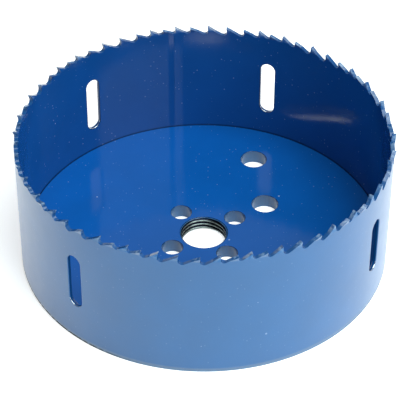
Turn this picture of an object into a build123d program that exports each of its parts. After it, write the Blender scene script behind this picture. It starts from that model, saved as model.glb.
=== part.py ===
from build123d import *
import math
import os

# Hole saw, in millimetres. +Z runs along the saw's axis, from the back plate to the teeth.
# The origin is the middle of the back plate's outer face, on which the saw stands.
# Seen from the toothed end the saw cuts as it turns anticlockwise.

# Cup
cut_diameter = 120.6         # 4 3/4 in, across the teeth that lean outwards
tooth_set = 0.5              # how far a set tooth's tip leans to its side
wall_thickness = 1.3         # the strip that the wall is rolled from
overall_height = 45.8        # back face to tooth tips

# Back plate
plate_thickness = 4.76       # 3/16 in
arbor_minor_diameter = 14.5  # crests of the 5/8-18 thread
arbor_chamfer = 0.35
drive_circle_diameter = 25.4
drive_hole_diameter = 6.9
drive_hole_count = 4
drive_first_angle = 37.0
knockout_diameter = 8.8
knockout_places = ((25.2, 36.6), (42.5, 66.9))   # distance from the axis, angle

# Slots for levering out the cut disc, placed round the wall from the strip's butt seam
seam_angle = 99.9
slot_length = 20.0
slot_width = 5.1
slot_centre_height = 23.6
slot_offsets = (-127.3, -31.0, 31.0, 129.9)

# Teeth: each group's pitch swells and shrinks, and its teeth are straight, out, in, out, in, out, in
group_count = 10
group_sides = (0, 1, -1, 1, -1, 1, -1)
group_first_angle = 47.4     # tip of a straight tooth
pitch_swing = 0.21           # largest change of pitch, as a share of the mean
rake_angle = 6.0             # the cutting face leans forward at its tip
gullet_radius_share = 0.2    # gullet radius as a share of the pitch
gullet_depth_slope = 0.537   # gullets are deeper where the pitch is longer
gullet_depth_start = -0.636
set_line_gap = 0.15          # from the shallowest gullet up to the line where teeth are bent
tooth_root_gap = 0.5         # from the deepest gullet down to the plain wall
tip_waste = 0.6              # stock above the tips, which the gullets cut away

outer_radius = cut_diameter / 2 - tooth_set
inner_radius = outer_radius - wall_thickness
middle_radius = (outer_radius + inner_radius) / 2
teeth_in_group = len(group_sides)
group_angle = 360 / group_count


def tooth_pitch_angle(index):
    """Angle from one tip to the next, in a wave over the group."""
    wave = math.cos(2 * math.pi * index / teeth_in_group)
    return group_angle / teeth_in_group * (1 + pitch_swing * wave)


def gullet_shape(index):
    """Half span between tips, depth, radius and the arc's centre ahead of the rear tip."""
    half_span = middle_radius * math.tan(math.radians(tooth_pitch_angle(index) / 2))
    pitch = 2 * half_span
    depth = gullet_depth_slope * pitch + gullet_depth_start
    radius = gullet_radius_share * pitch
    rake = math.radians(rake_angle)
    lead = (radius - (depth - radius) * math.sin(rake)) / math.cos(rake)
    return half_span, depth, radius, lead


def plane_facing_out(angle, distance):
    """Upright plane across the wall: its x runs anticlockwise, its y up and its z outwards."""
    outward = Vector(1, 0, 0).rotate(Axis.Z, angle)
    return Plane(outward * distance, x_dir=Vector(0, 1, 0).rotate(Axis.Z, angle), z_dir=outward)


def plane_through_axis(angle):
    """Upright plane that holds the saw's axis: its x runs outwards and its y up."""
    outward = Vector(1, 0, 0).rotate(Axis.Z, angle)
    return Plane((0, 0, 0), x_dir=outward, z_dir=Vector(0, -1, 0).rotate(Axis.Z, angle))


tip_angles = [group_first_angle]
for index in range(teeth_in_group - 1):
    tip_angles.append(tip_angles[-1] + tooth_pitch_angle(index))

gullet_angles = []
for index in range(teeth_in_group):
    lead_angle = math.degrees(math.atan(gullet_shape(index)[3] / middle_radius))
    gullet_angles.append(tip_angles[index] + lead_angle)

group_start = gullet_angles[-1] - group_angle

gullet_depths = [gullet_shape(index)[1] for index in range(teeth_in_group)]
set_line = overall_height - min(gullet_depths) + set_line_gap
tooth_root = overall_height - max(gullet_depths) - tooth_root_gap
stock_height = overall_height + tip_waste
lean = tooth_set * (stock_height - set_line) / (overall_height - set_line)

# Stock for one group of teeth: a stretch of bent rim for each, which ends in the gullets
with BuildPart() as rim_stock:
    for index, side in enumerate(group_sides):
        start = gullet_angles[index - 1] if index > 0 else group_start
        shift = side * lean
        with BuildSketch(plane_through_axis(start)):
            with BuildLine():
                Polyline(
                    (inner_radius, set_line),
                    (outer_radius, set_line),
                    (outer_radius + shift, stock_height),
                    (inner_radius + shift, stock_height),
                    close=True,
                )
            make_face()
        revolve(axis=Axis.Z, revolution_arc=gullet_angles[index] - start)

# The cutters that leave one group of teeth: steep cutting face, round gullet, long sloping back
with BuildPart() as gullet_cutters:
    for index in range(teeth_in_group):
        half_span, depth, radius, lead = gullet_shape(index)
        rake = math.radians(rake_angle)
        centre = Vector(lead - half_span, overall_height - depth + radius)
        rear_tip = Vector(-half_span, overall_height)
        front_tip = Vector(half_span, overall_height)
        face_foot = centre - Vector(math.cos(rake), -math.sin(rake)) * radius
        face_top = rear_tip + Vector(math.sin(rake), math.cos(rake)) * 2 * tip_waste
        to_front = front_tip - centre
        rise = math.atan2(to_front.Y, to_front.X)
        reach = math.acos(radius / to_front.length)
        touch = rise - reach
        back_foot = centre + Vector(math.cos(touch), math.sin(touch)) * radius
        back_end = front_tip + (front_tip - back_foot).normalized() * 2 * tip_waste
        middle_angle = tip_angles[index] + tooth_pitch_angle(index) / 2
        with BuildSketch(plane_facing_out(middle_angle, inner_radius - 2 * tooth_set)):
            with BuildLine():
                Line(face_top, face_foot)
                ThreePointArc(face_foot, centre - Vector(0, radius), back_foot)
                Line(back_foot, back_end)
                Polyline(
                    back_end,
                    (back_end.X, overall_height + 4 * tip_waste),
                    (face_top.X, overall_height + 4 * tip_waste),
                    face_top,
                )
            make_face()
        extrude(amount=wall_thickness + 5 * tooth_set)

# One group of finished teeth on its own stretch of wall, which starts and ends under a gullet
with BuildPart() as tooth_group:
    with BuildSketch(plane_through_axis(group_start)):
        with BuildLine():
            Polyline(
                (inner_radius, tooth_root),
                (outer_radius, tooth_root),
                (outer_radius, set_line),
                (inner_radius, set_line),
                close=True,
            )
        make_face()
    revolve(axis=Axis.Z, revolution_arc=group_angle)
    add(rim_stock.part)
    add(gullet_cutters.part, mode=Mode.SUBTRACT)
    add(gullet_cutters.part, rotation=(0, 0, -group_angle), mode=Mode.SUBTRACT)

# Toothed wall: slotted strip rolled to a ring, with the groups of teeth along its upper edge
with BuildPart() as toothed_wall:
    with BuildSketch(plane_through_axis(group_start)):
        with BuildLine():
            Polyline(
                (inner_radius, 0),
                (outer_radius, 0),
                (outer_radius, tooth_root),
                (inner_radius, tooth_root),
                close=True,
            )
        make_face()
    revolve(axis=Axis.Z)
    for offset_angle in slot_offsets:
        with BuildSketch(plane_facing_out(seam_angle + offset_angle, inner_radius - wall_thickness)):
            with Locations((0, slot_centre_height)):
                SlotOverall(slot_length, slot_width, rotation=90)
        extrude(amount=3 * wall_thickness, mode=Mode.SUBTRACT)
    with PolarLocations(0, group_count):
        add(tooth_group.part)

# Back plate: a thick disc that closes the wall and takes the arbor
with BuildPart() as back_plate:
    with BuildSketch():
        Circle(inner_radius)
    extrude(amount=plate_thickness)
    inner_face = Plane.XY.offset(plate_thickness)
    with Locations(inner_face):
        Hole(arbor_minor_diameter / 2)
    bore_edges = back_plate.edges().filter_by(GeomType.CIRCLE).sort_by(SortBy.RADIUS)[:2]
    chamfer(bore_edges, arbor_chamfer)
    with Locations(inner_face):
        with PolarLocations(drive_circle_diameter / 2, drive_hole_count, start_angle=drive_first_angle):
            Hole(drive_hole_diameter / 2)
        for distance, angle in knockout_places:
            with PolarLocations(distance, 1, start_angle=angle):
                Hole(knockout_diameter / 2)

toothed_wall.part.label = "toothed_wall"
back_plate.part.label = "back_plate"

os.makedirs("parts", exist_ok=True)
export_step(toothed_wall.part, "parts/toothed_wall.step")
export_step(back_plate.part, "parts/back_plate.step")
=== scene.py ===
import bpy
import math
import numpy as np
from mathutils import Matrix, Vector
from mathutils.geometry import delaunay_2d_cdt


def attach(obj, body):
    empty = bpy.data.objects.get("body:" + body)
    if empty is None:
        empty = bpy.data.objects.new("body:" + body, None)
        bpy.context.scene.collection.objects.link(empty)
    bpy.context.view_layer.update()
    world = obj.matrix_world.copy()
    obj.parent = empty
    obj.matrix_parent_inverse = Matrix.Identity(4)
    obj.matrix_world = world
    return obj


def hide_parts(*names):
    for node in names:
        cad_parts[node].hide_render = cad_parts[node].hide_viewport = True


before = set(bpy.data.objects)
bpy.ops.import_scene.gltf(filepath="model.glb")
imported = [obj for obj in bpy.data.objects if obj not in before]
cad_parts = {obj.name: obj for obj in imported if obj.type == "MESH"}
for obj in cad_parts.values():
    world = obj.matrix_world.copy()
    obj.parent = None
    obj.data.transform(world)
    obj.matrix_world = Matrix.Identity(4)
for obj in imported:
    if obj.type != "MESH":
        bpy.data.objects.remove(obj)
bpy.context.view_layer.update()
mm = 0.001

# The rows that carry a sheet's upper face round its edge to its lower one: side, degrees turned
edgeTurns = ((1, 0), (1, 45), (1, 90), (-1, 90), (-1, 45), (-1, 0))
flatBand = 2                    # the band of faces between an edge's two roundings
sharpestMitre = 0.6             # a corner's stretch grows no further than one over this
joinDistance = 1e-7
tiny = 1e-12                    # stands in for a run of no length
slack = 0.01                    # allowed where a point's place is compared, in mm
settling = 0.01                 # weight of the way out, where two normals may cancel


def outlineNormals(points):
    # Unit normals that point away from the metal, with the stretch a mitred corner needs
    here = np.array(points)
    ahead = np.roll(here, -1, axis=0) - here
    ahead /= np.linalg.norm(ahead, axis=1)[:, None]
    outAhead = np.stack([ahead[:, 1], -ahead[:, 0]], axis=1)
    normals = outAhead + np.roll(outAhead, 1, axis=0)
    normals /= np.linalg.norm(normals, axis=1)[:, None]
    stretch = 1 / np.maximum((normals * outAhead).sum(axis=1), sharpestMitre)
    return normals, stretch


def edgeRows(points, rounds, thickness, place):
    # The edge's rows of points, and the outline of the flat face inside them
    normals, stretch = outlineNormals(points)
    half = thickness / 2
    rows = []
    for side, turn in edgeTurns:
        sine, cosine = math.sin(math.radians(turn)), math.cos(math.radians(turn))
        row = []
        for point, normal, stretched, edge in zip(points, normals, stretch, rounds):
            inset = edge * (1 - sine) * stretched
            out = side * (half - edge * (1 - cosine))
            spot = (point[0] - normal[0] * inset, point[1] - normal[1] * inset)
            row.append(place(spot, out, (normal[0] * sine, normal[1] * sine, side * cosine)))
        rows.append(row)
    inner = [(p[0] - n[0] * r * k, p[1] - n[1] * r * k)
             for p, n, k, r in zip(points, normals, stretch, rounds)]
    return rows, inner


def onSheet(candidates, loops, gap=0.0):
    # True for each point that lies on the sheet and not too near one of its edges
    spots = np.array(candidates)
    inside = np.zeros(len(spots), dtype=bool)
    near = np.full(len(spots), np.inf)
    for loop in loops:
        starts = np.array(loop)
        for a, b in zip(starts, np.roll(starts, -1, axis=0)):
            run = b - a
            along = np.clip(((spots - a) @ run) / max(run @ run, tiny), 0, 1)
            near = np.minimum(near, np.linalg.norm(spots - a - along[:, None] * run, axis=1))
            crosses = (a[1] > spots[:, 1]) != (b[1] > spots[:, 1])
            if crosses.any():
                where = a[0] + (spots[:, 1] - a[1]) / run[1] * run[0]
                inside ^= crosses & (spots[:, 0] < where)
    return inside & (near > gap)


class sheetBuilder:
    # Collects points, normals and faces of one closed sheet-metal piece. The place function turns
    # a spot on the flat sheet, a distance out from its middle and a normal there into the
    # finished point and normal.

    def __init__(self, thickness, place):
        self.thickness, self.place = thickness, place
        self.points, self.normals, self.faces, self.finishes = [], [], [], []
        self.flat, self.fences, self.loops = [], [], []
        self.upper, self.lower = [], []

    def addPoints(self, row):
        first = len(self.points)
        for point, normal in row:
            self.points.append(point)
            self.normals.append(normal)
        return list(range(first, len(self.points)))

    def addFace(self, corners, finish):
        self.faces.append(corners)
        self.finishes.append(finish)

    def addEdge(self, points, rounds, finishes, skip=(), middleRows=()):
        # One closed edge; middleRows shape its flat band, which is left open at the points in skip
        rows, inner = edgeRows(points, rounds, self.thickness, self.place)
        rows[flatBand + 1:flatBand + 1] = middleRows
        moreBands = finishes[flatBand:flatBand + 1] * len(middleRows)
        finishes = finishes[:flatBand] + moreBands + finishes[flatBand:]
        numbers = [self.addPoints(row) for row in rows]
        count = len(points)
        for level in range(len(rows) - 1):
            a, b = numbers[level], numbers[level + 1]
            for i in range(count):
                j = (i + 1) % count
                if level != flatBand or i not in skip:
                    self.addFace([a[i], b[i], b[j], a[j]], finishes[level])
        first = len(self.flat)
        self.flat += inner
        self.upper += numbers[0]
        self.lower += numbers[-1]
        self.fences += [(first + i, first + (i + 1) % count) for i in range(count)]
        self.loops.append(inner)

    def fill(self, pointSets, upperFinish, lowerFinish):
        # Adds the given points where they keep their gap from the edges, and joins all of them
        extra = []
        for spots, gap in pointSets:
            extra += [spot for spot, good in zip(spots, onSheet(spots, self.loops, gap)) if good]
        half = self.thickness / 2
        self.upper += self.addPoints([self.place(p, half, (0, 0, 1)) for p in extra])
        self.lower += self.addPoints([self.place(p, -half, (0, 0, -1)) for p in extra])
        self.flat += extra
        corners = [Vector(p) for p in self.flat]
        found, sources = delaunay_2d_cdt(corners, self.fences, [], 2, joinDistance)[2:4]
        triangles = [[sources[i][0] for i in triangle] for triangle in found]
        middles = [np.mean([self.flat[i] for i in triangle], axis=0) for triangle in triangles]
        for (a, b, c), good in zip(triangles, onSheet(middles, self.loops)):
            if good:
                pa, pb, pc = self.flat[a], self.flat[b], self.flat[c]
                if (pb[0] - pa[0]) * (pc[1] - pa[1]) < (pb[1] - pa[1]) * (pc[0] - pa[0]):
                    b, c = c, b                    # anticlockwise, seen from the upper side
                self.addFace([self.upper[a], self.upper[b], self.upper[c]], upperFinish)
                self.addFace([self.lower[a], self.lower[c], self.lower[b]], lowerFinish)

    def makePiece(self, name, materials, welded=()):
        # Of each welded pair of points, the second stands for both
        swap = dict(welded)
        used = sorted({swap.get(i, i) for face in self.faces for i in face})
        place = {old: new for new, old in enumerate(used)}
        mesh = bpy.data.meshes.new(name)
        mesh.from_pydata([[c * mm for c in self.points[i]] for i in used], [],
                         [[place[swap.get(i, i)] for i in face] for face in self.faces])
        for material in materials:
            mesh.materials.append(material)
        mesh.polygons.foreach_set("material_index", self.finishes)
        mesh.polygons.foreach_set("use_smooth", [True] * len(mesh.polygons))
        mesh.update()
        mesh.normals_split_custom_set_from_vertices([self.normals[i] for i in used])
        return addObject(name, mesh)


def addObject(name, data):
    thing = bpy.data.objects.new(name, data)
    bpy.context.scene.collection.objects.link(thing)
    return thing


def feed(tree, slot, value):
    # A slot takes another node's output, a colour, a vector or a number
    if isinstance(value, bpy.types.NodeSocket):
        tree.links.new(value, slot)
    elif slot.type == "RGBA":
        slot.default_value = (*value, 1)
    else:
        slot.default_value = value


def addNode(tree, kind, slots=None, **settings):
    node = tree.nodes.new(kind)
    for key, value in settings.items():
        setattr(node, key, value)
    for key, value in (slots or {}).items():
        feed(tree, node.inputs[key], value)
    return node


def calc(tree, operation, *values):
    slots = dict(enumerate(values))
    return addNode(tree, "ShaderNodeMath", slots, operation=operation).outputs[0]


def mixColour(tree, share, first, second):
    slots = {0: share, 6: first, 7: second}
    return addNode(tree, "ShaderNodeMix", slots, data_type="RGBA").outputs[2]


def ramp(tree, value, span):
    # Smoothly from 0 at the span's first number to 1 at its second
    slots = {0: value, 1: span[0], 2: span[1]}
    return addNode(tree, "ShaderNodeMapRange", slots, interpolation_type="SMOOTHSTEP").outputs[0]


def noise(tree, spot, scale, detail=3.0):
    slots = {"Vector": spot, "Scale": scale, "Detail": detail}
    return addNode(tree, "ShaderNodeTexNoise", slots).outputs[0]


def grain(tree, spot, scale, least, swing):
    return calc(tree, "ADD", calc(tree, "MULTIPLY", noise(tree, spot, scale), swing), least)


def vectorLength(tree, vector):
    return addNode(tree, "ShaderNodeVectorMath", {0: vector}, operation="LENGTH").outputs["Value"]


def fromAxis(tree, spot):
    # Distance from the saw's axis
    flat = addNode(tree, "ShaderNodeVectorMath", {0: spot, 1: (1, 1, 0)}, operation="MULTIPLY")
    return vectorLength(tree, flat.outputs[0])


def splitAxes(tree, spot):
    return addNode(tree, "ShaderNodeSeparateXYZ", {0: spot}).outputs


def newMaterial(name, slots):
    # The material, its node tree and shader, and the spot on the piece
    material = bpy.data.materials.new(name)
    material.use_nodes = True
    tree = material.node_tree
    shader = tree.nodes["Principled BSDF"]
    for key, value in slots.items():
        feed(tree, shader.inputs[key], value)
    return material, tree, shader, addNode(tree, "ShaderNodeTexCoord").outputs["Object"]


enamelLook = {
    "ior": 1.5,
    "coatRoughness": 0.06,
    "mattSize": 240.0,          # cells per metre, as are all sizes here
    "matt": (0.07, 0.10),       # least roughness, and how far it rises
    # soft patches of thicker and thinner paint
    "cloudSize": 70.0,
    "cloudSpan": (0.3, 0.7),
    "cloudDepth": 0.05,
    # size, detail and height of the sheet's slow swell, and of the orange peel over it
    "bumps": ((60.0, 1.0, 0.00006), (900.0, 2.0, 0.000012)),
    # size, rarity, width and strength of the fine dust, and of the few larger specks
    "specks": ((950.0, 5.0, 0.23, 0.30), (360.0, 34.0, 0.13, 0.9)),
    "speckColour": (0.36, 0.50, 0.72),
    # tooth tips paler: paint worn thin there, and a painted highlight where they catch the light
    "tipColour": (0.27, 0.40, 0.58),
    "tipShare": 0.65,
    "tipSpan": (0.0438, 0.0458),
    "tipPatchSize": 700.0,
    "tipPatchSpan": (0.40, 0.62),
    # painted shade in the corner between plate and wall
    "cornerColour": (0.003, 0.012, 0.05),
    "cornerShare": 0.65,
    "cornerShadeReach": (0.0580, 0.0584),       # on the plate, from the axis
    "cornerShadeHeight": (0.0054, 0.0049),      # on the wall
    # painted reflection of the floor: a paler band just above the foot
    "thinnedColour": (0.22, 0.27, 0.32),
    "thinnedShare": 0.45,
    "footReflectionSpan": (0.0018, 0.0008),
}


def addDust(tree, spot, base, dust):
    for scale, rarity, width, strength in enamelLook["specks"]:
        cells = addNode(tree, "ShaderNodeTexVoronoi", {"Vector": spot, "Scale": scale})
        pick = addNode(tree, "ShaderNodeSeparateColor", {0: cells.outputs["Color"]})
        size = calc(tree, "MULTIPLY", calc(tree, "POWER", pick.outputs[0], rarity), width)
        speck = calc(tree, "LESS_THAN", cells.outputs["Distance"], size)
        share = calc(tree, "MULTIPLY", speck, strength * dust)
        base = mixColour(tree, share, base, enamelLook["speckColour"])
    return base


def addWearAndPaintedLight(tree, base, where, kind):
    # Mixes in one look's colour: worn paint with a painted highlight at the tooth tips, painted shade
    # in the corner, a painted reflection at the foot
    share = calc(tree, "MULTIPLY", where, enamelLook[kind + "Share"])
    return mixColour(tree, share, base, enamelLook[kind + "Colour"])


def addBumps(tree, spot, shader):
    slots = {}
    for scale, detail, height in enamelLook["bumps"]:
        slots.update({"Distance": height, "Height": noise(tree, spot, scale, detail)})
        slots["Normal"] = addNode(tree, "ShaderNodeBump", slots).outputs[0]
    feed(tree, shader.inputs["Normal"], slots["Normal"])


def enamel(name, colour, coat=0.0, satin=0.0, dust=0.0, corner=None, tips=False, paintedFootReflection=False):
    look = enamelLook
    material, tree, shader, spot = newMaterial(name, {
        "IOR": look["ior"],
        "Coat Weight": coat,
        "Coat Roughness": look["coatRoughness"] + satin,
        "Coat IOR": look["ior"],
    })
    height = splitAxes(tree, spot)[2]
    thin = tuple(c * (1 - look["cloudDepth"]) for c in colour)
    thick = tuple(c * (1 + look["cloudDepth"] / 2) for c in colour)
    clouds = ramp(tree, noise(tree, spot, look["cloudSize"]), look["cloudSpan"])
    base = mixColour(tree, clouds, thin, thick)
    if dust:
        base = addDust(tree, spot, base, dust)
    # painted shade: darker where plate and wall meet
    if corner == "plate":
        base = addWearAndPaintedLight(tree, base, ramp(tree, fromAxis(tree, spot), look["cornerShadeReach"]), "corner")
    if corner == "wall":
        base = addWearAndPaintedLight(tree, base, ramp(tree, height, look["cornerShadeHeight"]), "corner")
    if tips:
        # paler tooth tips: partly worn paint, partly a painted highlight
        patches = ramp(tree, noise(tree, spot, look["tipPatchSize"]), look["tipPatchSpan"])
        edge = ramp(tree, height, look["tipSpan"])
        base = addWearAndPaintedLight(tree, base, calc(tree, "MULTIPLY", edge, patches), "tip")
    if paintedFootReflection:
        # painted reflection: paler towards the foot
        base = addWearAndPaintedLight(tree, base, ramp(tree, height, look["footReflectionSpan"]), "thinned")
    feed(tree, shader.inputs["Base Color"], base)
    least, swing = look["matt"]
    feed(tree, shader.inputs["Roughness"], grain(tree, spot, look["mattSize"], least + satin, swing))
    addBumps(tree, spot, shader)
    return material


footLook = {
    # paler than the wall's blue: a painted reflection of the floor
    "painted": (0.175, 0.290, 0.455),
    "paintedContactShadow": (0.060, 0.074, 0.080),
    "leftSpan": (-0.014, -0.040),
    "roughness": 0.7,
    "specular": 0.05,
}


def footWithPaintedShadow():
    # The wall's lowest edge: paler paint as a painted reflection of the floor on its rounding, darkened
    # on the left by a painted contact shadow
    look = footLook
    slots = {"Roughness": look["roughness"], "Specular IOR Level": look["specular"]}
    material, tree, shader, spot = newMaterial("footWithPaintedShadow", slots)
    # painted contact shadow: darker towards the left, away from the softbox
    left = ramp(tree, splitAxes(tree, spot)[0], look["leftSpan"])
    feed(tree, shader.inputs["Base Color"], mixColour(tree, left, look["painted"], look["paintedContactShadow"]))
    return material


steelLook = {
    "crest": (0.26, 0.31, 0.29),
    "stained": (0.15, 0.18, 0.18),
    "stainSize": 500.0,
    "stainSpan": (0.35, 0.7),
    "root": (0.010, 0.014, 0.026),         # painted shade in the thread roots
    "rootSpan": (0.00729, 0.00752),
    "polished": (0.62, 0.67, 0.72),
    "grainSize": 900.0,
    "threadGrain": (0.16, 0.25),           # least roughness, and how far it rises
    "polishedGrain": (0.14, 0.20),
}


def bareSteel():
    look = steelLook
    material, tree, shader, spot = newMaterial("bareThreadSteel", {"Metallic": 1.0})
    stain = ramp(tree, noise(tree, spot, look["stainSize"]), look["stainSpan"])
    steel = mixColour(tree, stain, look["crest"], look["stained"])
    # painted shade: darker towards the thread roots
    deep = ramp(tree, fromAxis(tree, spot), look["rootSpan"])
    feed(tree, shader.inputs["Base Color"], mixColour(tree, deep, steel, look["root"]))
    feed(tree, shader.inputs["Roughness"], grain(tree, spot, look["grainSize"], *look["threadGrain"]))
    return material


def polishedSteel():
    look = steelLook
    slots = {"Metallic": 1.0, "Base Color": look["polished"]}
    material, tree, shader, spot = newMaterial("steelWornBright", slots)
    feed(tree, shader.inputs["Roughness"], grain(tree, spot, look["grainSize"], *look["polishedGrain"]))
    return material


outerEnamel = enamel("enamelOuterWall", (0.003, 0.126, 0.370), coat=0.56, satin=0.22, dust=0.6,
                     tips=True, paintedFootReflection=True)
# a darker copy of the plate's blue: painted shade inside the cup
innerEnamel = enamel("enamelInnerWall", (0.006, 0.072, 0.285), dust=1.0, corner="wall", tips=True)
plateEnamel = enamel("enamelBackPlate", (0.003, 0.094, 0.385), dust=0.8, corner="plate")
# a darker copy of the wall's blue: painted shade on the teeth's cut edges
toothEnamel = enamel("enamelToothEdges", (0.012, 0.080, 0.25), tips=True)
# a darker copy of the wall's blue: painted shade on the slots' cut walls
slotEnamel = enamel("enamelInSlots", (0.004, 0.055, 0.20))
# paler and greyer than the plate's blue: painted reflection of the floor in the hole walls
holeEnamel = enamel("enamelInHoles", (0.040, 0.150, 0.340))
# dark rims round the holes and inside the slots: painted shade
rimPaintedShade = enamel("enamelRimsPaintedShade", (0.003, 0.030, 0.110))
footEnamel = footWithPaintedShadow()
threadSteel = bareSteel()
wornSteel = polishedSteel()
print("finishes ready")


wallStrip = {
    "cutDiameter": 120.6,       # across the teeth that lean outwards
    "thickness": 1.3,
    "height": 45.8,
    "bottomRound": 0.15,
    "footHeight": 0.70,         # of the foot band, with its painted shadow and reflection
    # seam where the strip's ends are welded
    "seamAngle": 99.9,
    "seamRound": 0.10,
    "seamRoundGrowth": 0.06,    # per mm down from the teeth, where it starts as theirs
    "weldShift": 1.0,           # degrees from the seam's nominal place to its weld
    "weldRidge": 0.13,          # the weld stands this proud on the inside
    "weldSides": (3.1, 1.96),   # its long clockwise side and its steep one
    "weldStart": 4.8,           # just above the back plate
    "weldFade": 0.6,
    # slots for levering out the cut disc
    "slotSize": (5.1, 20.0),    # width and length
    "slotCentre": 23.6,
    "slotOffsets": (-127.3, -31.0, 31.0, 129.9),   # degrees from the seam
    "slotRound": 0.28,
    "bareEnd": 1.6,             # height of bare steel at a slot's lower end
    # teeth
    "groups": 10,
    "toothSides": (0, 1, -1, 1, -1, 1, -1),        # straight, out, in, out, in, out, in
    "toothSet": 0.5,
    "firstTip": 47.4,
    "pitchSwing": 0.21,
    "rake": 6.0,
    "gulletShare": 0.2,         # gullet radius as a share of the pitch
    "depthSlope": 0.537,        # gullets are deeper where the pitch is longer
    "depthStart": -0.636,
    "backSlope": 0.57,
    "bendGap": 0.15,
    "bendSoftness": 0.14,       # half the height over which a tooth bends
    "toothRound": 0.035,
    "tipRound": 0.07,
    "tipRoom": 2.4,             # tip radii that a gullet's own points keep from a tip
    "tipShares": (0, 0.3, 0.5, 0.7, 1),
    # how finely the mesh is laid out
    "bottomSteps": 300,
    "endSteps": 40,
    "slotSteps": (24, 10),      # round an end and along a side
    "gulletSteps": (5, 12, 8),  # down the cutting face, round the gullet, up the back
    "footGap": 0.1,
    "wideRows": (1.2, 3.6, 6.6, 10, 13.5, 17, 20.5, 24, 27.5, 31, 34.5, 37.8, 40.4),
    "wideCount": 124,
    "wideEnds": (3.8, 4.3),     # left free for the weld's columns
    "wideGap": 0.8,
    "fineRows": (42.2, 43.2),
    "bendRows": (0.55, 1),      # above the line where teeth bend
    "fineCount": 560,
    "fineGap": 0.1,
    "weldColumns": (-3.9, -3.4, -3.1, -2.8, -2.3, -1.7, -1.1, -0.5, -0.2,
                    0.2, 0.5, 0.9, 1.3, 1.65, 1.96, 2.3, 2.8, 3.4),
    "weldRows": (1.0, 1.05, 39),           # first height, step and count
    "weldGap": 0.08,
    "slopeStep": 0.12,          # either side, where the weld's slope is taken
}
wallMiddle = wallStrip["cutDiameter"] / 2 - wallStrip["toothSet"] - wallStrip["thickness"] / 2
stripLength = 2 * math.pi * wallMiddle
stripStart = wallStrip["seamAngle"] + wallStrip["weldShift"]
rake = math.radians(wallStrip["rake"])
toothCount = len(wallStrip["toothSides"])
groupAngle = 360 / wallStrip["groups"]
pitchWave = [math.cos(2 * math.pi * i / toothCount) for i in range(toothCount)]
pitchAngles = [groupAngle / toothCount * (1 + wallStrip["pitchSwing"] * wave) for wave in pitchWave]
tipAngles = [wallStrip["firstTip"] + sum(pitchAngles[:i]) for i in range(toothCount)]


def gulletShape(pitchAngle):
    # Half span between tips, depth, radius, and how far the gullet's centre leads the rear tip
    halfSpan = wallMiddle * math.tan(math.radians(pitchAngle / 2))
    depth = wallStrip["depthSlope"] * 2 * halfSpan + wallStrip["depthStart"]
    radius = wallStrip["gulletShare"] * 2 * halfSpan
    lead = (radius - (depth - radius) * math.sin(rake)) / math.cos(rake)
    return halfSpan, depth, radius, lead


gullets = [gulletShape(pitchAngle) for pitchAngle in pitchAngles]
gulletAngles = [tip + math.degrees(math.atan(lead / wallMiddle))
                for tip, (_, _, _, lead) in zip(tipAngles, gullets)]
groupStart = gulletAngles[-1] - groupAngle
bendHeight = wallStrip["height"] - min(depth for _, depth, _, _ in gullets) + wallStrip["bendGap"]


def spread(start, end, count):
    # Points on a straight run, without its last one
    return [start + (end - start) * i / count for i in range(count)]


def gulletLine(index):
    # One gullet, from just past its rear tip to just before its front tip
    halfSpan, depth, radius, lead = gullets[index]
    faceSteps, turnSteps, backSteps = wallStrip["gulletSteps"]
    top = wallStrip["height"]
    centre = Vector((lead - halfSpan, top - depth + radius))
    rear, front = Vector((-halfSpan, top)), Vector((halfSpan, top))
    foot = centre - Vector((math.cos(rake), -math.sin(rake))) * radius
    toFront = front - centre
    touch = math.atan2(toFront.y, toFront.x) - math.acos(radius / toFront.length)
    heel = centre + Vector((math.cos(touch), math.sin(touch))) * radius
    clear = wallStrip["tipRound"] * wallStrip["tipRoom"]
    line = spread(rear + (foot - rear).normalized() * clear, foot, faceSteps)
    for turn in spread(math.pi - rake, 2 * math.pi + touch, turnSteps):
        line.append(centre + Vector((math.cos(turn), math.sin(turn))) * radius)
    end = front + (heel - front).normalized() * clear
    return line + spread(heel, end, backSteps) + [end]


def roundTip(before, tip, after):
    # Small arc in place of a tooth's sharp point
    radius = wallStrip["tipRound"]
    inward, outward = (before - tip).normalized(), (after - tip).normalized()
    half = inward.angle(outward) / 2
    centre = tip + (inward + outward).normalized() * radius / math.sin(half)
    start, end = tip + inward * radius / math.tan(half), tip + outward * radius / math.tan(half)
    a, b = start - centre, end - centre
    return [centre + (a.lerp(b, t)).normalized() * radius for t in wallStrip["tipShares"]]


def toothLine():
    # The whole saw edge as (distance along the strip, height), once round from the seam
    edge = []
    for group in range(wallStrip["groups"]):
        for index in range(toothCount):
            middle = tipAngles[index] + pitchAngles[index] / 2 + group * groupAngle
            shift = Vector((math.radians(middle - stripStart) * wallMiddle, 0))
            line = [point + shift for point in gulletLine(index)]
            tip = Vector((shift.x - gullets[index][0], wallStrip["height"]))
            before = edge[-1] if edge else Vector((tip.x - 1, tip.y - wallStrip["backSlope"]))
            edge += roundTip(before, tip, line[0]) + line
    edge = [Vector((p.x % stripLength, p.y)) for p in edge]
    first = max(range(len(edge)), key=lambda i: edge[i - 1].x - edge[i].x)
    edge = edge[first:] + edge[:first]
    share = (stripLength - edge[-1].x) / (edge[0].x + stripLength - edge[-1].x)
    height = edge[-1].y + (edge[0].y - edge[-1].y) * share
    return [Vector((0, height))] + edge + [Vector((stripLength, height))]


def toothSide(angle):
    # Which way the tooth at this angle leans
    turned = (angle - groupStart) % groupAngle + groupStart
    for side, end in zip(wallStrip["toothSides"], gulletAngles):
        if turned <= end:
            return side
    return 0


def toothBend(height):
    # How far above the bend a height counts, and how fast that grows
    above, soft = height - bendHeight, wallStrip["bendSoftness"]
    if above <= -soft:
        return 0.0, 0.0
    if above < soft:
        return (above + soft) ** 2 / (4 * soft), (above + soft) / (2 * soft)
    return above, 1.0


def ridgeHeight(fromSeam):
    behind, ahead = wallStrip["weldSides"]
    away = fromSeam / ahead if fromSeam > 0 else -fromSeam / behind
    return wallStrip["weldRidge"] * max(0.0, 1 - away)


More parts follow.
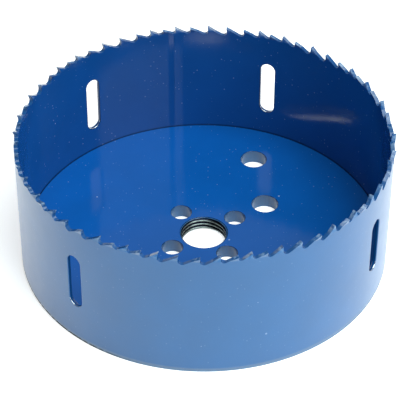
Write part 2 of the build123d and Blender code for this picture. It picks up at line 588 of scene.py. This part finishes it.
def rollStrip(spot, out, normal):
    # Bends a point of the flat strip round the saw, with the set of its tooth and the weld's ridge
    along, height = spot
    angle = stripStart + math.degrees(along / wallMiddle)
    share = toothSide(angle) * wallStrip["toothSet"] / (wallStrip["height"] - bendHeight)
    rise, slope = toothBend(height)
    lean, leanSlope = rise * share, slope * share
    fromSeam = along if along < stripLength / 2 else along - stripLength
    inward = max(0.0, -2 * out / wallStrip["thickness"])
    inward *= min(max((height - wallStrip["weldStart"]) / wallStrip["weldFade"], 0), 1)
    bulge = -inward * ridgeHeight(fromSeam)
    step = wallStrip["slopeStep"]
    bulgeSlope = -inward * (ridgeHeight(fromSeam + step) - ridgeHeight(fromSeam - step)) / (2 * step)
    turn = math.radians(angle)
    outward = Vector((math.cos(turn), math.sin(turn), 0))
    forward = Vector((-math.sin(turn), math.cos(turn), 0))
    up = Vector((0, 0, 1))
    point = outward * (wallMiddle + out + lean + bulge) + up * height
    facing = (outward - up * leanSlope - forward * bulgeSlope) * normal[2]
    facing += (forward + outward * bulgeSlope) * normal[0] + (up + outward * leanSlope) * normal[1]
    return point, facing.normalized()


def slotLoop(offset):
    # Clockwise, because metal lies outside it
    width, length = wallStrip["slotSize"]
    radius, straight = width / 2, (length - width) / 2
    middle = math.radians((offset - wallStrip["weldShift"]) % 360) * wallMiddle
    endSteps, sideSteps = wallStrip["slotSteps"]
    loop = []
    for rise, firstTurn, side in ((straight, 180, 1), (-straight, 0, -1)):
        centre = wallStrip["slotCentre"] + rise
        for i in range(endSteps + 1):
            turn = math.radians(firstTurn - 180 * i / endSteps)
            loop.append((middle + math.cos(turn) * radius, centre + math.sin(turn) * radius))
        nextEnd = np.array((middle + side * radius, wallStrip["slotCentre"] - rise))
        loop += [tuple(p) for p in spread(np.array(loop[-1]), nextEnd, sideSteps)[1:]]
    return loop


def wallOutline():
    # The flat strip's outline, the rounding at each of its points, and where its two ends start
    steps, endSteps = wallStrip["bottomSteps"], wallStrip["endSteps"]
    seamRound, toothRound = wallStrip["seamRound"], wallStrip["toothRound"]
    top = [tuple(p) for p in toothLine()]
    endHeight = top[0][1]
    bottom = [(stripLength * i / steps, 0.0) for i in range(steps + 1)]
    rightEnd = [(stripLength, endHeight * i / endSteps) for i in range(1, endSteps)]
    leftEnd = [(0.0, endHeight * i / endSteps) for i in range(endSteps - 1, 0, -1)]
    endRounds = [min(seamRound, toothRound + (endHeight - h) * wallStrip["seamRoundGrowth"])
                 for _, h in rightEnd]
    rounds = [wallStrip["bottomRound"]] * len(bottom) + endRounds
    rounds += [toothRound] * len(top) + endRounds[::-1]
    rounds[0] = rounds[steps] = seamRound
    rightFirst = len(bottom) - 1
    leftFirst = len(bottom) + len(rightEnd) + len(top) - 1
    return bottom + rightEnd + top[::-1] + leftEnd, rounds, rightFirst, leftFirst


def staggeredRows(heights, count):
    # Rows of points along the strip, every second one half a step further on
    return [(stripLength * (i + 0.5 * (row % 2)) / count, height)
            for row, height in enumerate(heights) for i in range(count)]


def wallPoints():
    # Sets of points inside the strip, each with the gap that it keeps from the edges
    s = wallStrip
    steps, soft = s["bottomSteps"], s["bendSoftness"]
    low = [(stripLength * (i + 0.5) / steps, s["footHeight"]) for i in range(steps)]
    startGap, endGap = s["wideEnds"]
    wide = [p for p in staggeredRows(s["wideRows"], s["wideCount"])
            if startGap < p[0] < stripLength - endGap]
    bend = [bendHeight + rise for rise in (-soft, 0, soft, *s["bendRows"])]
    fine = staggeredRows([*s["fineRows"], *bend], s["fineCount"])
    first, step, count = s["weldRows"]
    weld = [(column if column > 0 else stripLength + column, first + step * i)
            for column in s["weldColumns"] for i in range(count)]
    return [(low, s["footGap"]), (wide, s["wideGap"]), (fine, s["fineGap"]), (weld, s["weldGap"])]


def weldEnds(sheet, rightFirst, leftFirst, count):
    # Pairs of points along the flat band's two rows, where the strip's ends meet
    endSteps = wallStrip["endSteps"]
    pairs = []
    for level, side in ((flatBand, 1), (flatBand + 1, -1)):
        for i in range(endSteps + 1):
            right = level * count + rightFirst + i
            left = level * count + (leftFirst + endSteps - i) % count
            pairs.append((left, right))
            turn = math.atan2(sheet.points[right].y, sheet.points[right].x)
            outward = Vector((math.cos(turn), math.sin(turn), 0)) * side
            if 0 < i < endSteps:
                sheet.normals[right] = outward
            else:
                both = sheet.normals[left] + sheet.normals[right]
                sheet.normals[right] = (both + outward * settling).normalized()
    return pairs


def buildWall():
    materials = [outerEnamel, innerEnamel, slotEnamel, wornSteel, footEnamel, toothEnamel, rimPaintedShade]
    outer, inner, cut, worn, foot, tooth, rimShade = range(len(materials))
    sheet = sheetBuilder(wallStrip["thickness"], rollStrip)
    outline, rounds, rightFirst, leftFirst = wallOutline()
    skip = {first + i for first in (rightFirst, leftFirst) for i in range(wallStrip["endSteps"])}
    sheet.addEdge(outline, rounds, [outer, outer, tooth, inner, inner], skip)
    for offset in wallStrip["slotOffsets"]:
        loop = slotLoop(offset)
        first = len(sheet.faces)
        # the slot's inner roundings take the painted shade
        sheet.addEdge(loop, [wallStrip["slotRound"]] * len(loop), [outer, outer, cut, rimShade, rimShade])
        bareTop = min(height for _, height in loop) + wallStrip["bareEnd"]
        for i, (_, height) in enumerate(loop):     # levering out discs has bared the lower end
            if height < bareTop:
                for band in (flatBand - 1, flatBand + 1):
                    sheet.finishes[first + band * len(loop) + i] = worn
    sheet.fill(wallPoints(), outer, inner)

    welded = weldEnds(sheet, rightFirst, leftFirst, len(outline))
    wall = sheet.makePiece("toothedWall", materials, welded)
    for face in wall.data.polygons:
        corners = [wall.data.vertices[i].co / mm for i in face.vertices]
        if all(c.z < wallStrip["footHeight"] + slack and c.xy.length > wallMiddle for c in corners):
            face.material_index = foot
    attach(wall, "root")
    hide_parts("toothed_wall")
    return wall


wall = buildWall()
print("toothed wall:", len(wall.data.polygons), "faces")


plateDisc = {
    "radius": 58.5,
    "thickness": 4.76,
    "rimRound": 0.30,
    # holes
    "holeRound": 0.12,
    "driveCircle": 25.4,        # diameters, as for the holes
    "driveHole": 6.9,
    "driveCount": 4,
    "driveAngle": 37.0,
    "knockout": 8.8,
    "knockoutPlaces": ((25.2, 36.6), (42.5, 66.9)),    # distance from the axis, angle
    # arbor thread
    "crestRadius": 7.25,
    "rootRadius": 7.94,
    "pitch": 1.411,
    "crestDrop": 0.45,          # of the first crest below its nominal height
    "crestWidth": 0.14,         # shares of half the pitch
    "flankWidth": 0.66,
    "flankCurve": 0.2,          # how far the flank's straight slope is eased at its ends
    "mouthRadius": 7.90,        # outer edge of the chamfers
    "mouthRound": 0.08,
    "chamferSlopes": (1.0, 2.4),   # upper and lower
    "runIn": 0.36,              # length of whole chamfer before the thread cuts in
    "runInSlope": 3,
    "paintEdge": 0.04,          # paint ends this far outside the crests
    "paintSlack": 0.02,         # how far from the chamfer an uncut face may lie
    # how finely the mesh is laid out
    "rimSteps": 300,
    "holeSteps": 72,
    "threadColumns": 180,
    "rowsPerPitch": 18,
    "rings": 14,
    "ringStep": 4.05,
    "ringPoints": 8,            # more in each ring than in the last
    "ringGap": 0.9,
}


def circle(x, y, radius, count, clockwise=False):
    # A hole runs clockwise, because metal lies outside it
    way = -1 if clockwise else 1
    turns = [way * 2 * math.pi * i / count for i in range(count)]
    return [(x + math.cos(turn) * radius, y + math.sin(turn) * radius) for turn in turns]


def layPlate(spot, out, normal):
    return Vector((spot[0], spot[1], plateDisc["thickness"] / 2 + out)), Vector(normal)


def coneRadius(height):
    # Radius of the nearer chamfer, carried on into the bore
    mouth = plateDisc["mouthRadius"]
    upper, lower = plateDisc["chamferSlopes"]
    return max(mouth - (plateDisc["thickness"] - height) * upper, mouth - height * lower)


def threadRadius(turn, height):
    # Right-hand thread that fades in below each chamfer
    d = plateDisc
    depth = min(height, d["thickness"] - height)
    phase = ((height + d["crestDrop"]) / d["pitch"] - turn / (2 * math.pi)) % 1
    away = abs(phase - 0.5) * 2                       # 0 on the crest, 1 in the root
    flank = min(max((away - d["crestWidth"]) / d["flankWidth"], 0), 1)
    flank = flank * (1 - d["flankCurve"]) + flank * flank * (3 - 2 * flank) * d["flankCurve"]
    cone = max(d["crestRadius"], coneRadius(height))
    cut = d["crestRadius"] + (d["rootRadius"] - d["crestRadius"]) * flank
    return max(cone, min(cut, cone + d["runInSlope"] * max(0, depth - d["runIn"])))


def threadRows(mouth):
    # Rows of points down the bore, with empty normals, which the mesh then works out for itself
    d = plateDisc
    length = d["thickness"] - 2 * d["mouthRound"]
    count = round(length / d["pitch"] * d["rowsPerPitch"])
    rows = []
    for level in range(1, count):
        height = d["thickness"] - d["mouthRound"] - length * level / count
        row = []
        for x, y in mouth:
            turn = math.atan2(y, x)
            radius = threadRadius(turn, height)
            point = Vector((math.cos(turn) * radius, math.sin(turn) * radius, height))
            row.append((point, Vector((0, 0, 0))))
        rows.append(row)
    return rows


def platePoints():
    # Rings of points that keep the disc's triangles even
    spots = []
    for ring in range(1, plateDisc["rings"] + 1):
        count = plateDisc["ringPoints"] * ring
        for i in range(count):
            turn = 2 * math.pi * (i + 0.5 * (ring % 2)) / count
            spots.append((math.cos(turn) * ring * plateDisc["ringStep"],
                          math.sin(turn) * ring * plateDisc["ringStep"]))
    return spots


def paintChamfers(plate, bare, painted):
    # Thin paint runs down over both chamfers, as far as the thread's first cut
    crest = plateDisc["crestRadius"]
    for face in plate.data.polygons:
        if face.material_index == bare:
            corners = [plate.data.vertices[i].co / mm for i in face.vertices]
            cones = [coneRadius(c.z) for c in corners]
            uncut = all(math.hypot(c.x, c.y) < max(cone, crest) + plateDisc["paintSlack"]
                        for c, cone in zip(corners, cones))
            if uncut and max(cones) > crest + plateDisc["paintEdge"]:
                face.material_index = painted


def buildPlate():
    d = plateDisc
    materials = [plateEnamel, holeEnamel, rimPaintedShade, threadSteel]
    enamelled, drilled, rimShaded, bare = range(len(materials))
    sheet = sheetBuilder(d["thickness"], layPlate)
    disc = circle(0, 0, d["radius"], d["rimSteps"])
    sheet.addEdge(disc, [d["rimRound"]] * len(disc), [enamelled] * 5)
    holes = [(d["driveCircle"] / 2, d["driveAngle"] + 360 / d["driveCount"] * i, d["driveHole"] / 2)
             for i in range(d["driveCount"])]
    holes += [(reach, angle, d["knockout"] / 2) for reach, angle in d["knockoutPlaces"]]
    for reach, angle, radius in holes:
        x, y = math.cos(math.radians(angle)) * reach, math.sin(math.radians(angle)) * reach
        hole = circle(x, y, radius, d["holeSteps"], clockwise=True)
        # the holes' upper roundings take the painted shade
        sheet.addEdge(hole, [d["holeRound"]] * len(hole), [rimShaded, rimShaded, drilled, drilled, drilled])
    mouth = circle(0, 0, d["mouthRadius"], d["threadColumns"], clockwise=True)
    boreFinishes = [enamelled, enamelled, bare, enamelled, enamelled]
    sheet.addEdge(mouth, [d["mouthRound"]] * len(mouth), boreFinishes, middleRows=threadRows(mouth))
    sheet.fill([(platePoints(), d["ringGap"])], enamelled, enamelled)

    plate = sheet.makePiece("backPlate", materials)
    paintChamfers(plate, bare, drilled)
    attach(plate, "root")
    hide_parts("back_plate")
    return plate


plate = buildPlate()
print("back plate:", len(plate.data.polygons), "faces")


studio = {
    "floorSize": 6.0,
    "floorBack": (0.8, 1.6),    # how far back it runs on the left and right, in halves of its size
    "floorDrop": 5e-5,
    "floorColour": (0.9, 0.9, 0.9),
    "floorRoughness": 0.9,
    "floorGlow": 0.55,          # lifts the floor to white where it is seen
    "farGlow": 0.95,            # the same, far from the saw
    "farSpan": (0.3, 1.3),
    "mirroredGlow": 0.62,       # where the enamel mirrors the floor
    "keySide": -43.0,           # degrees round from +X
    "keyHeight": 59.0,
    "keyDistance": 1.1,
    "keySize": (0.9, 1.5),
    "keyPower": 18.5,
    "keyColour": (0.93, 1.03, 1.0),
    "skyColours": ((0.80, 0.80, 0.80), (0.20, 0.20, 0.20)),    # low and high
    "skySpan": (0.1, 0.9),
    "paleSide": (0.35, 0.94, 0.0),         # the backdrop behind, and a little to the right
    "paleSpan": (-0.1, 0.5),
    "dimShare": 0.42,           # how bright the sky is away from it
    "white": (1.0, 1.0, 1.0),
}


def layFloor():
    size = studio["floorSize"] / 2
    leftBack, rightBack = studio["floorBack"]
    corners = [(-size, -size), (size, -size), (size, size * rightBack), (-size, size * leftBack)]
    mesh = bpy.data.meshes.new("floor")
    mesh.from_pydata([(x, y, -studio["floorDrop"]) for x, y in corners], [], [(0, 1, 2, 3)])
    floor = addObject("floor", mesh)
    paper, tree, shader, spot = newMaterial("floorPaper", {
        "Base Color": studio["floorColour"],
        "Roughness": studio["floorRoughness"],
        "Specular IOR Level": 0.0,
        "Emission Color": studio["white"],
    })
    ray = addNode(tree, "ShaderNodeLightPath").outputs
    more = studio["farGlow"] - studio["floorGlow"]
    far = calc(tree, "MULTIPLY", ramp(tree, vectorLength(tree, spot), studio["farSpan"]), more)
    seen = calc(tree, "MULTIPLY", ray["Is Camera Ray"], calc(tree, "ADD", far, studio["floorGlow"]))
    mirrored = calc(tree, "MAXIMUM", ray["Is Glossy Ray"], ray["Is Transmission Ray"])
    glow = calc(tree, "MAXIMUM", seen, calc(tree, "MULTIPLY", mirrored, studio["mirroredGlow"]))
    feed(tree, shader.inputs["Emission Strength"], glow)
    mesh.materials.append(paper)


def hangSoftbox():
    lamp = bpy.data.lights.new("softbox", "AREA")
    lamp.shape = "RECTANGLE"
    lamp.size, lamp.size_y = studio["keySize"]
    lamp.energy = studio["keyPower"]
    lamp.color = studio["keyColour"]
    softbox = addObject("softbox", lamp)
    side, lift = math.radians(studio["keySide"]), math.radians(studio["keyHeight"])
    flat = math.cos(lift)
    toLamp = Vector((math.cos(side) * flat, math.sin(side) * flat, math.sin(lift)))
    softbox.location = toLamp * studio["keyDistance"]
    softbox.rotation_euler = toLamp.to_track_quat("Z", "Y").to_euler()


def lightSky():
    # Dimmer overhead and away from the backdrop, and plain white where the camera sees it
    world = bpy.data.worlds.new("studioWorld")
    world.use_nodes = True
    bpy.context.scene.world = world
    tree = world.node_tree
    background = tree.nodes["Background"]
    way = addNode(tree, "ShaderNodeTexCoord").outputs["Generated"]
    seen = addNode(tree, "ShaderNodeLightPath").outputs["Is Camera Ray"]
    rise = ramp(tree, splitAxes(tree, way)[2], studio["skySpan"])
    sky = mixColour(tree, rise, *studio["skyColours"])
    feed(tree, background.inputs["Color"], mixColour(tree, seen, sky, studio["white"]))
    slots = {0: way, 1: studio["paleSide"]}
    side = addNode(tree, "ShaderNodeVectorMath", slots, operation="DOT_PRODUCT").outputs["Value"]
    share = calc(tree, "MULTIPLY", ramp(tree, side, studio["paleSpan"]), 1 - studio["dimShare"])
    strength = calc(tree, "MAXIMUM", calc(tree, "ADD", share, studio["dimShare"]), seen)
    feed(tree, background.inputs["Strength"], strength)


viewpoint = {
    "lens": 160.785,
    "sensor": 36,
    "clip": (0.01, 20),
    "distance": 576.7,
    "elevation": 39.34,
    "turn": 0.56,
    "aim": 20.0,                # height on the saw's axis from which the distance is taken
    "yaw": -0.13,
    "pitch": -0.12,
    "roll": 0.26,
}


def placeCamera():
    v = viewpoint
    lift, turn = math.radians(v["elevation"]), math.radians(v["turn"])
    yaw, pitch, roll = math.radians(v["yaw"]), math.radians(v["pitch"]), math.radians(v["roll"])
    back = Matrix.Rotation(turn, 3, "Z") @ Vector((0, -math.cos(lift), math.sin(lift)))
    right = Matrix.Rotation(turn, 3, "Z") @ Vector((1, 0, 0))
    up = back.cross(right)
    ahead = (-back + right * math.tan(yaw) + up * math.tan(pitch)).normalized()
    right = ahead.cross(up).normalized()
    up = right.cross(ahead)
    rolledRight = right * math.cos(roll) + up * math.sin(roll)
    rolledUp = up * math.cos(roll) - right * math.sin(roll)
    lens = bpy.data.cameras.new("camera")
    lens.sensor_fit = "HORIZONTAL"
    lens.sensor_width = v["sensor"]
    lens.lens = v["lens"]
    lens.clip_start, lens.clip_end = v["clip"]
    camera = addObject("camera", lens)
    camera.matrix_world = Matrix((rolledRight, rolledUp, -ahead)).transposed().to_4x4()
    camera.location = (back * v["distance"] + Vector((0, 0, v["aim"]))) * mm
    bpy.context.scene.camera = camera


layFloor()
hangSoftbox()
lightSky()
placeCamera()
bpy.context.scene.view_settings.view_transform = "Standard"
print("studio ready")
